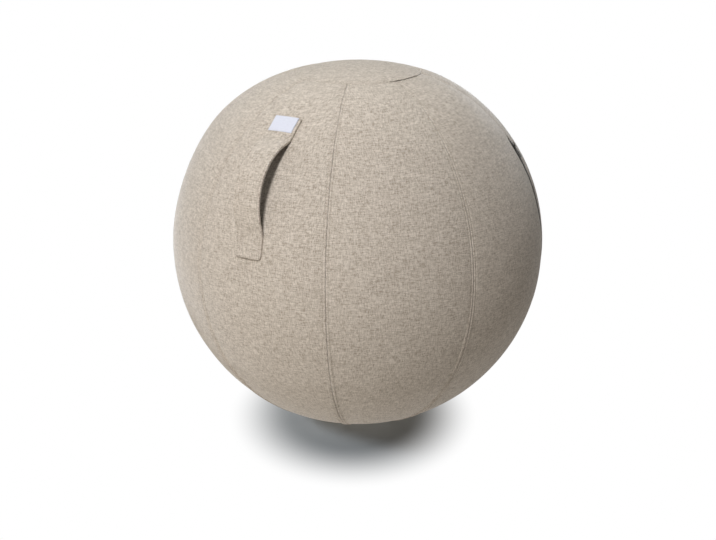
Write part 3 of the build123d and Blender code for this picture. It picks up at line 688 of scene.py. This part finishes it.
def sew(rows, name, pitch):
    """Sews rows of (place, direction, normal) stations with short threads, as one piece."""
    template = bmesh.new()
    bmesh.ops.create_uvsphere(template, u_segments=6, v_segments=4, radius=1)
    bmesh.ops.rotate(template, cent=(0, 0, 0), matrix=Matrix.Rotation(pi / 2, 3, "Y"), verts=template.verts)
    stitch = bpy.data.meshes.new("stitch")
    template.to_mesh(stitch)
    template.free()
    size = Matrix.Diagonal((pitch * STITCH_SHARE / 2, STITCH_WIDTH / 2, STITCH_HEIGHT / 2))
    tilt = Matrix.Rotation(STITCH_TILT, 3, "Z")
    bm = bmesh.new()
    for row in rows:
        for place, direction, normal in row:
            along = direction.normalized()
            side = normal.cross(along).normalized()
            turn = Matrix((along, side, along.cross(side))).transposed() @ tilt
            one = stitch.copy()
            one.transform(Matrix.Translation(place) @ (turn @ size).to_4x4())
            bm.from_mesh(one)
            bpy.data.meshes.remove(one)
    bpy.data.meshes.remove(stitch)
    thread = settings()[0].thread
    return finished(bm, name, grained_material("sewing thread", thread, 0.18, 2500.0, 0.75, 0.3))


def gore_row(number, end, low, high):
    """Stations of one thread row along a gore's edge."""
    cover = settings()[0]
    count = int((high - low) * BALL_RADIUS / cover.stitch_pitch)
    points = []
    for k in range(2 * count + 1):
        latitude = low + (high - low) * k / (2 * count)
        _, _, width = gore_edges(number, latitude)
        across = cover.stitch_offset / width
        point, _ = gore_point(number, 1 - across if end else across, latitude)
        points.append(point)
    row = []
    for k in range(1, 2 * count, 2):
        normal = (points[k] - CENTRE).normalized()
        row.append((points[k] + normal * STITCH_LIFT, points[k + 1] - points[k - 1], normal))
    return row


class BALL_OT_gores(bpy.types.Operator):
    """Sewn gores of the cover, each stretched from the top patch to the base panel"""

    bl_idname = "ball.gores"
    bl_label = "Gores"

    def execute(self, context):
        rows = [GORE_TOP + (GORE_FOOT - GORE_TOP) * s for s in graded(GORE_LENGTH, GORE_ROW_STEP)]
        columns = graded(GORE_ANGLE * BALL_RADIUS, GORE_COLUMN_STEP)
        for number in range(1, GORE_COUNT + 1):
            bm = bmesh.new()
            geom = chain(bm, [(cos(a), 0, sin(a)) for a in rows])
            for before, after in zip(columns, columns[1:]):
                turn = (after - before) * GORE_ANGLE
                spun = bmesh.ops.spin(bm, geom=geom, cent=(0, 0, 0), axis=(0, 0, 1), angle=turn, steps=1)
                geom = spun["geom_last"]
            places = {}
            for vert in bm.verts:
                across = abs(atan2(vert.co.y, vert.co.x)) / GORE_ANGLE
                latitude = atan2(vert.co.z, hypot(vert.co.x, vert.co.y))
                vert.co, places[vert] = gore_point(number, across, latitude)
            piece, area = cloth_sheet(bm, places, f"cover_gore_{number}", melange_cloth(), CLOTH_THICKNESS)
            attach(piece, "ball")
            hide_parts(f"gore_panel_{number}")
        return {"FINISHED"}


def disc(rows, turns, name, point):
    """Round panel spun from places along its radius, and then shaped by a function of radius and angle."""
    bm = bmesh.new()
    geom = chain(bm, [(r, 0, 0) for r in rows])
    bmesh.ops.spin(bm, geom=geom, cent=(0, 0, 0), axis=(0, 0, 1), angle=2 * pi, steps=turns, use_merge=True)
    bmesh.ops.remove_doubles(bm, verts=bm.verts, dist=1e-6)
    places = {}
    for vert in bm.verts:
        places[vert] = (vert.co.x, vert.co.y)
        vert.co = point(hypot(vert.co.x, vert.co.y), atan2(vert.co.y, vert.co.x))
    piece, area = cloth_sheet(bm, places, name, melange_cloth(), CLOTH_THICKNESS)
    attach(piece, "ball")
    return piece, area


def disc_rows(inner, radius):
    """Places along a round panel's radius: the inner ones, then a fine edge."""
    edge = radius - SEAM_HALF_GAP
    return inner + [edge - d for d in reversed(FINE_STEPS[:PANEL_FINE_STEPS])]


def patch_point(radius, angle):
    """Point of the top patch, whose edge stands off a little on one side."""
    latitude = atan2(DOME_UP + sqrt(DOME_RADIUS**2 - radius**2), radius)
    direction = outward(angle, latitude)
    edge = PATCH_RADIUS - SEAM_HALF_GAP - radius
    loose = (radius / PATCH_RADIUS) ** 4 * hump(angle, *LOOSE_HUMP)
    lift = body_relief(direction, latitude) + seam_relief(edge, angle * PATCH_RADIUS, PATCH_FOLD_DEPTH)
    lift += swell_relief(edge) + PATCH_LIFT + LOOSE_LIFT * loose
    return CENTRE + direction * (outline_reach(latitude) + lift)


class BALL_OT_round_panels(bpy.types.Operator):
    """Round patch on top and round base panel"""

    bl_idname = "ball.round_panels"
    bl_label = "Round panels"

    def execute(self, context):
        rows = disc_rows([0.0, 0.004] + [0.008 * k for k in range(1, 12)], PATCH_RADIUS)
        patch, area = disc(rows, PATCH_TURNS, "cover_top_patch", patch_point)
        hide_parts("top_patch")
        rows = disc_rows([0.0] + [0.01 * k for k in range(1, 7)], BASE_RADIUS)
        base, area = disc(
            rows, BASE_TURNS, "cover_base_panel", lambda r, a: Vector((r * cos(a), r * sin(a), 0))
        )
        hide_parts("base_panel")
        return {"FINISHED"}


class BALL_OT_topstitching(bpy.types.Operator):
    """Thread rows along both sides of each gore seam and round the top patch"""

    bl_idname = "ball.topstitching"
    bl_label = "Topstitching"

    def execute(self, context):
        cover = settings()[0]
        high = GORE_TOP - ROWS_HIGH_INSET / BALL_RADIUS
        edges = [(number, end) for number in range(1, GORE_COUNT + 1) for end in (False, True)]
        rows = [gore_row(number, end, ROWS_LOW_END, high) for number, end in edges]
        radius = PATCH_RADIUS - cover.stitch_offset
        count = int(2 * pi * radius / cover.stitch_pitch)
        row = []
        for k in range(count):
            angle = 2 * pi * k / count
            place = patch_point(radius, angle)
            row.append((place, Vector((-sin(angle), cos(angle), 0)), (place - CENTRE).normalized()))
        seams = (rows, "gore_thread_rows", "gore_topstitching")
        patch = ([row], "patch_thread_row", "patch_topstitching")
        for stations, name, node in (seams, patch):
            sewn = sew(stations, name, cover.stitch_pitch)
            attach(sewn, "ball")
            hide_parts(node)
        return {"FINISHED"}


# Carry strap


def strap_line(distance):
    """Point of the strap's underside in the middle of its width, and its outward normal."""
    for (reach, bearing), radius, start, sweep, side in STRAP_ARCS:
        length = radius * abs(sweep)
        if distance <= length + 1e-9:
            break
        distance -= length
    angle = start + sweep * min(distance / length, 1)
    u = reach * cos(bearing) + radius * cos(angle)
    w = reach * sin(bearing) + radius * sin(angle)
    return Vector((0, -u, CENTRE_Z + w)), Vector((0, -side * cos(angle), side * sin(angle)))


def strap_point(distance, across, height):
    """Point of the strap: its sewn ends follow the ball across their width, its bow is straight across."""
    point, normal = strap_line(distance)
    sewn = 1 - between(distance, LOW_TAB, HIGH_TAB, *STRAP_SEWN_STEP)
    drop = sewn * (STRAP_SEAT - sqrt(STRAP_SEAT**2 - across**2))
    return point + normal * (height - drop) + Vector((across, 0, 0)), normal


def strap_top(across, half):
    """Height of the strap's upper side: softly filled, and pressed down under its two thread rows."""
    pressed = STRAP_PRESS * hump(half - abs(across), *STRAP_PRESS_HUMP)
    filled = STRAP_FILL * (1 - (across / half) ** 2)
    return STRAP_THICKNESS - pressed + filled


def strap_section():
    """Places round the strap's cross-section, as parts of its half width and of its thickness."""
    line = STRAP_PARTS + tuple(-part for part in reversed(STRAP_PARTS))
    upper = [(part, 1.0) for part in line]
    lower = [(part, 0.0) for part in reversed(line)]
    return upper + list(STRAP_EDGE) + lower + [(-part, level) for part, level in reversed(STRAP_EDGE)]


def strap_skin(distance, part, level):
    """Point of the strap's skin and its place in the cloth; corners are cut round, ends are flatter."""
    end = min(distance, STRAP_LENGTH - distance)
    corner = LOW_CORNER if distance < STRAP_LENGTH / 2 else HIGH_CORNER
    cut = corner - sqrt(max(corner**2 - max(corner - end, 0) ** 2, 0))
    half = STRAP_HALF - cut
    across = part * half
    folded = END_HEIGHT + (1 - END_HEIGHT) * smooth(end, 0, END_REACH)
    place = (distance / WAVE_LENGTH, part * WAVE_ACROSS, WAVE_SHIFT)
    wave = WAVE_LIFT * noise.noise(place) * smooth(end, *WAVE_ENDS)
    point, _ = strap_point(distance, across, level * strap_top(across, half) * folded + wave)
    return point, (across + (UNDERSIDE_SHIFT if level < 0.5 else 0), distance)


def follow_strap(piece):
    """Bakes the placement of a piece of the strap into its mesh."""
    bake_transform(piece)


class BALL_OT_strap(bpy.types.Operator):
    """Carry strap: a folded cloth sleeve, sewn down at both ends and bowed between them"""

    bl_idname = "ball.strap"
    bl_label = "Carry strap"

    def execute(self, context):
        cover = settings()[0]
        section = strap_section()
        stations = [STRAP_LENGTH * f for f in graded(STRAP_LENGTH, STRAP_STEP)]
        bm = bmesh.new()
        index = bm.verts.layers.int.new("section")
        places = {}

        def put(verts, distance):
            for vert in verts:
                vert.co, places[vert] = strap_skin(distance, *section[vert[index]])

        ring = [bm.verts.new((0, 0, 0)) for _ in section]
        for k, vert in enumerate(ring):
            vert[index] = k
        put(ring, stations[0])
        edges = [bm.edges.new(pair) for pair in zip(ring, ring[1:] + ring[:1])]
        for distance in stations[1:]:
            grown = bmesh.ops.extrude_edge_only(bm, edges=edges)["geom"]
            fresh = {v for v in grown if isinstance(v, bmesh.types.BMVert)}
            put(fresh, distance)
            edges = [e for e in grown if isinstance(e, bmesh.types.BMEdge) and fresh.issuperset(e.verts)]
        bmesh.ops.holes_fill(bm, edges=[e for e in bm.edges if e.is_boundary], sides=0)
        bmesh.ops.recalc_face_normals(bm, faces=bm.faces)
        write_map(bm, places)
        for face in bm.faces:
            # The underside's faces take a dark colour, painted shade that deepens the gap under the strap's
            # bow
            face.material_index = int(all(section[vert[index]][1] < 0.1 for vert in face.verts))
        strap = finished(bm, "carry_strap", melange_cloth())
        painted_underside_shade = grained_material("strap lining", cover.painted_underside_shade, 0.15, 1500.0, 0.9, 0.4)
        strap.data.materials.append(painted_underside_shade)
        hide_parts("handle_sleeve")
        follow_strap(strap)
        self.webbing()

        pitch = cover.stitch_pitch * STRAP_PITCH_SHARE
        side = STRAP_HALF - STRAP_ROW_INSET
        half = STRAP_CROSS_HALF
        high = HIGH_TAB + STRAP_ROW_PAST
        rows = [self.stations((STRAP_ROW_START, a), (high, a), pitch) for a in (-side, side)]
        rows += [self.stations((d, -half), (d, half), pitch) for d in (STRAP_CROSS_ROW, LOW_TAB)]
        sewn = sew(rows, "strap_thread_rows", pitch)
        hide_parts("handle_stitching")
        follow_strap(sewn)
        return {"FINISHED"}

    def webbing(self):
        """Woven band inside the strap."""
        length = STRAP_LENGTH - 2 * WEBBING_END_MARGIN

        def shape(x, y):
            across = x * 2 * WEBBING_HALF
            distance = WEBBING_END_MARGIN + length * (y + 0.5)
            return strap_point(distance, across, WEBBING_TOP)[0], (across, distance)

        stops = tone_stops(TAPE_COLOR, 0.8, 1.15)
        material = cloth_material("webbing", pitch=0.001, slub=0.05, stops=stops, bump=0.5, sheen=0.0)
        band = cloth_grid(8, 70, "strap_webbing", material, WEBBING_THICKNESS, shape)
        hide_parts("handle_webbing")
        follow_strap(band)

    def stations(self, start, end, pitch):
        """Stations of a thread row on the strap, between two places (distance, across)."""
        count = int(hypot(end[0] - start[0], end[1] - start[1]) / pitch)
        row = []
        for k in range(count):
            ends = []
            for part in (k, k + 0.5, k + 1):
                distance, across = (a + (b - a) * part / count for a, b in zip(start, end))
                ends.append(strap_point(distance, across, strap_top(across, STRAP_HALF) + STITCH_LIFT))
            row.append((ends[1][0], ends[2][0] - ends[0][0], ends[1][1]))
        return row


class BALL_OT_label(bpy.types.Operator):
    """Blank woven label on the strap's upper sewn end"""

    bl_idname = "ball.label"
    bl_label = "Label"

    def execute(self, context):
        high = STRAP_LENGTH - LABEL_END_MARGIN

        def shape(x, y):
            across = LABEL_SHIFT + x * 2 * LABEL_HALF
            distance = high - LABEL_LENGTH * (0.5 - y)
            edge = min((0.5 - abs(x)) * 2 * LABEL_HALF, (0.5 - abs(y)) * LABEL_LENGTH)
            height = STRAP_THICKNESS + LABEL_LIFT + LABEL_PUFF * smooth(edge, 0, LABEL_PUFF_REACH)
            return strap_point(distance, across, height)[0], (across, distance)

        stops = tone_stops(settings()[1].label, 0.9, 1.03)
        material = cloth_material("woven label", pitch=0.00045, slub=0.1, stops=stops, bump=0.25, sheen=0.0)
        label = cloth_grid(24, 16, "blank_label", material, LABEL_THICKNESS, shape)
        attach(label, "ball")
        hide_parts("handle_label")
        return {"FINISHED"}


# Zip and inner layers


def zip_tape_point(side, x, y):
    """Point of a zip tape, which bends down under the cover beside the slot, and its place in the cloth."""
    seam = seam_angle(ZIP_SEAM)
    lateral = ZIP_TAPE_NEAR + (ZIP_TAPE_FAR - ZIP_TAPE_NEAR) * (x + 0.5)
    latitude = ZIP_LOW + (ZIP_HIGH - ZIP_LOW) * (y + 0.5)
    sink = zip_sink(max(lateral - ZIP_SLOT_HALF, 0), latitude)
    low = BALL_RADIUS - CLOTH_THICKNESS - ZIP_TAPE_GAP - sink
    high = ZIP_TAPE_REACH + ZIP_TAPE_LIFT
    reach = min(high, high + (low - high) * smooth(lateral, ZIP_TAPE_BEND, ZIP_SLOT_HALF))
    point = CENTRE + outward(seam, latitude) * sqrt(reach**2 - lateral**2)
    point += Vector((-sin(seam), cos(seam), 0)) * side * lateral
    return point, (side * lateral, latitude * ZIP_TAPE_REACH)


def dress(nodes, material):
    """Gives nodes of the frame their finish."""
    for node in nodes:
        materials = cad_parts[node].data.materials
        materials.clear()
        materials.append(material)


class BALL_OT_zip(bpy.types.Operator):
    """Zip in one seam: its two tapes, and the finish of its teeth, stops, slider and pull"""

    bl_idname = "ball.zip"
    bl_label = "Zip"

    def execute(self, context):
        trim = settings()[1]
        stops = tone_stops(trim.zip_cloth, 0.75, 1.25)
        material = cloth_material("zip tape", pitch=0.0007, slub=0.05, stops=stops, bump=0.5, sheen=0.05)
        for side, name in ((1, "left"), (-1, "right")):
            shape = partial(zip_tape_point, side)
            tape = cloth_grid(30, 140, f"zip_cloth_{name}", material, ZIP_TAPE_THICKNESS, shape)
            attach(tape, "ball")
            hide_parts(f"zip_tape_{name}")
        plastic = grained_material("zip plastic", trim.zip_plastic, 0.2, 900.0, 0.45, 0.1)
        metal = grained_material("zip lacquered metal", trim.zip_metal, 0.15, 1400.0, 0.35, 0.05, 0.8)
        dress(("zip_teeth_left", "zip_teeth_right", "zip_top_stop", "zip_bottom_stop"), plastic)
        dress(("zip_slider", "zip_pull"), metal)
        return {"FINISHED"}


class BALL_OT_inner_layers(bpy.types.Operator):
    """Finish of the layers inside the cover: inner ball, valve, fleece, tapes and weighted ring"""

    bl_idname = "ball.inner_layers"
    bl_label = "Inner layers"

    def execute(self, context):
        numbers = range(1, GORE_COUNT + 1)
        fleece = [f"fleece_panel_{number}" for number in numbers] + ["top_patch_fleece"]
        tapes = [f"seam_tape_{number}" for number in numbers] + ["top_ring_tape", "base_ring_tape"]
        film = settings()[1].inner_ball
        # Nodes, and the finish's name, colour, spread of tone, grains per metre, roughness and bump
        for nodes, *finish in (
            (["inner_ball"], "inner ball film", film, 0.06, 300.0, 0.5, 0.05),
            (["valve_seat", "valve_plug"], "valve plastic", linear(226, 225, 222), 0.04, 500.0, 0.45, 0.05),
            (fleece, "needled fleece", linear(214, 211, 206), 0.15, 1600.0, 0.95, 0.6),
            (tapes, "seam tape", TAPE_COLOR, 0.2, 1800.0, 0.9, 0.5),
            (["ballast_sleeve"], "ring sleeve cloth", linear(58, 58, 60), 0.25, 1500.0, 0.9, 0.5),
            (["ballast_fill"], "ring granules", linear(38, 38, 38), 0.4, 700.0, 0.8, 0.9),
        ):
            dress(nodes, grained_material(*finish))
        return {"FINISHED"}


# Studio


def area_lamp(name, turn, rise, reach, size, power, color):
    """Area lamp aimed at the ball, at degrees to the camera's right and degrees over the floor."""
    lamp = bpy.data.lights.new(name, "AREA")
    lamp.shape = "RECTANGLE"
    lamp.size, lamp.size_y = size
    lamp.energy = power
    lamp.color = color
    holder = bpy.data.objects.new(name, lamp)
    away = outward(CAMERA_TURN - pi / 2 + radians(turn), radians(rise))
    holder.location = CENTRE + away * reach
    holder.rotation_euler = (-away).to_track_quat("-Z", "Y").to_euler()
    bpy.context.scene.collection.objects.link(holder)
    return holder


class BALL_OT_stage(bpy.types.Operator):
    """Camera, lamps, room light and pale floor"""

    bl_idname = "ball.stage"
    bl_label = "Studio"

    def execute(self, context):
        stage = settings()[2]
        scene = context.scene
        scene.view_settings.view_transform = "Standard"
        self.place_camera(scene)
        key = area_lamp("key lamp", -19, 43, 2.6, (0.4, 0.4), stage.key_power, (0.99, 1.0, 1.03))
        area_lamp("side lamp", -95, 12, 2.6, (1.2, 1.2), stage.side_power, (0.93, 0.97, 1.0))
        low = area_lamp("floor lamp", -95, 15, 2.6, (0.6, 0.6), stage.low_power, (1, 1, 1))
        area_lamp("top lamp", 175, 64, 2.2, (2.6, 1.2), stage.top_power, (0.94, 0.98, 1.0))
        self.light_room(scene, stage.world_level)
        bm = bmesh.new()
        bmesh.ops.create_circle(bm, cap_ends=True, segments=96, radius=6)
        bmesh.ops.translate(bm, verts=bm.verts, vec=(0, 0, -FLOOR_DROP))
        floor = finished(bm, "floor", self.floor_material(stage), False)
        self.share(key, floor, "EXCLUDE")
        self.share(low, floor, "INCLUDE")
        return {"FINISHED"}

    def place_camera(self, scene):
        """Camera where the photograph was taken from."""
        camera = bpy.data.cameras.new("photo camera")
        camera.lens = CAMERA_LENS
        holder = bpy.data.objects.new("photo camera", camera)
        toward = TO_CAMERA * cos(CAMERA_RISE) + Vector((0, 0, sin(CAMERA_RISE)))
        holder.location = CENTRE + toward * CAMERA_REACH
        aim = CENTRE - Vector((0, 0, CAMERA_AIM_DROP))
        holder.rotation_euler = (aim - holder.location).to_track_quat("-Z", "Y").to_euler()
        scene.collection.objects.link(holder)
        scene.camera = holder

    def light_room(self, scene, level):
        """White background that lights the ball only a little."""
        world = bpy.data.worlds.new("studio")
        scene.world = world
        world.use_nodes = True
        tree = world.node_tree
        tree.nodes.clear()
        strength = calc(tree, "MULTIPLY_ADD", seen_directly(tree), 1 - level, level)
        backdrop = add_node(tree, "ShaderNodeBackground", {"Color": (1, 1, 1, 1), "Strength": strength})
        add_node(tree, "ShaderNodeOutputWorld", {"Surface": backdrop.outputs[0]})

    def floor_material(self, stage):
        """Floor that fades to white round the shadow, and sends up less light at the right."""
        values = {"Base_Color": FLOOR_COLOR, "Roughness": 0.9, "Specular_IOR_Level": 0.1}
        material, tree, shader = new_material("pale floor", **values)
        inputs = {"Location": SHADOW_PLACE, "Rotation": (0, 0, CAMERA_TURN), "Scale": SHADOW_SIZE}
        inputs["Vector"] = object_place(tree)
        place = add_node(tree, "ShaderNodeMapping", inputs, vector_type="TEXTURE").outputs["Vector"]
        distance = add_node(tree, "ShaderNodeVectorMath", {0: place}, operation="LENGTH").outputs["Value"]
        white = add_node(tree, "ShaderNodeEmission", {}).outputs[0]
        fading = blended(tree, eased(tree, distance, SHADOW_CORE, 1.0), shader.outputs[0], white)
        inputs = {0: object_place(tree), 1: TO_RIGHT}
        sideways = add_node(tree, "ShaderNodeVectorMath", inputs, operation="DOT_PRODUCT").outputs["Value"]
        strength = eased(tree, sideways, *BOUNCE_SIDES, stage.floor_lit, stage.floor_dim)
        inputs = {"Color": BOUNCE_COLOR, "Strength": strength}
        bounce = add_node(tree, "ShaderNodeEmission", inputs).outputs[0]
        both = blended(tree, seen_directly(tree), bounce, fading)
        link(tree, both, tree.nodes["Material Output"].inputs["Surface"])
        return material

    def share(self, lamp, piece, state):
        """Keeps a lamp's light off a piece, or gives it to that piece alone."""
        group = bpy.data.collections.new(f"{lamp.name} link")
        group.objects.link(piece)
        group.collection_objects[0].light_linking.link_state = state
        lamp.light_linking.receiver_collection = group


class BALL_PT_panel(bpy.types.Panel):
    """Settings and steps of the sitting ball"""

    bl_idname = "BALL_PT_panel"
    bl_label = "Sitting ball"
    bl_space_type = "VIEW_3D"
    bl_region_type = "UI"
    bl_category = "Sitting ball"

    def draw(self, context):
        for group in settings():
            box = self.layout.box()
            for name in group.__annotations__:
                box.prop(group, name)
        for operator in OPERATORS:
            self.layout.operator(operator.bl_idname)


OPERATORS = (
    BALL_OT_gores,
    BALL_OT_round_panels,
    BALL_OT_topstitching,
    BALL_OT_strap,
    BALL_OT_label,
    BALL_OT_zip,
    BALL_OT_inner_layers,
    BALL_OT_stage,
)
CLASSES = (CoverSettings, TrimSettings, StageSettings, *OPERATORS, BALL_PT_panel)


def register():
    for cls in CLASSES:
        bpy.utils.register_class(cls)
    bpy.types.Scene.ball_cover = PointerProperty(type=CoverSettings)
    bpy.types.Scene.ball_trim = PointerProperty(type=TrimSettings)
    bpy.types.Scene.ball_stage = PointerProperty(type=StageSettings)


def unregister():
    del bpy.types.Scene.ball_stage
    del bpy.types.Scene.ball_trim
    del bpy.types.Scene.ball_cover
    for cls in reversed(CLASSES):
        bpy.utils.unregister_class(cls)


def main():
    """Builds the scene."""
    register()
    bpy.ops.ball.gores()
    bpy.ops.ball.round_panels()
    bpy.ops.ball.topstitching()
    bpy.ops.ball.strap()
    bpy.ops.ball.label()
    bpy.ops.ball.zip()
    bpy.ops.ball.inner_layers()
    bpy.ops.ball.stage()
    bpy.context.view_layer.update()


if __name__ == "__main__":
    main()
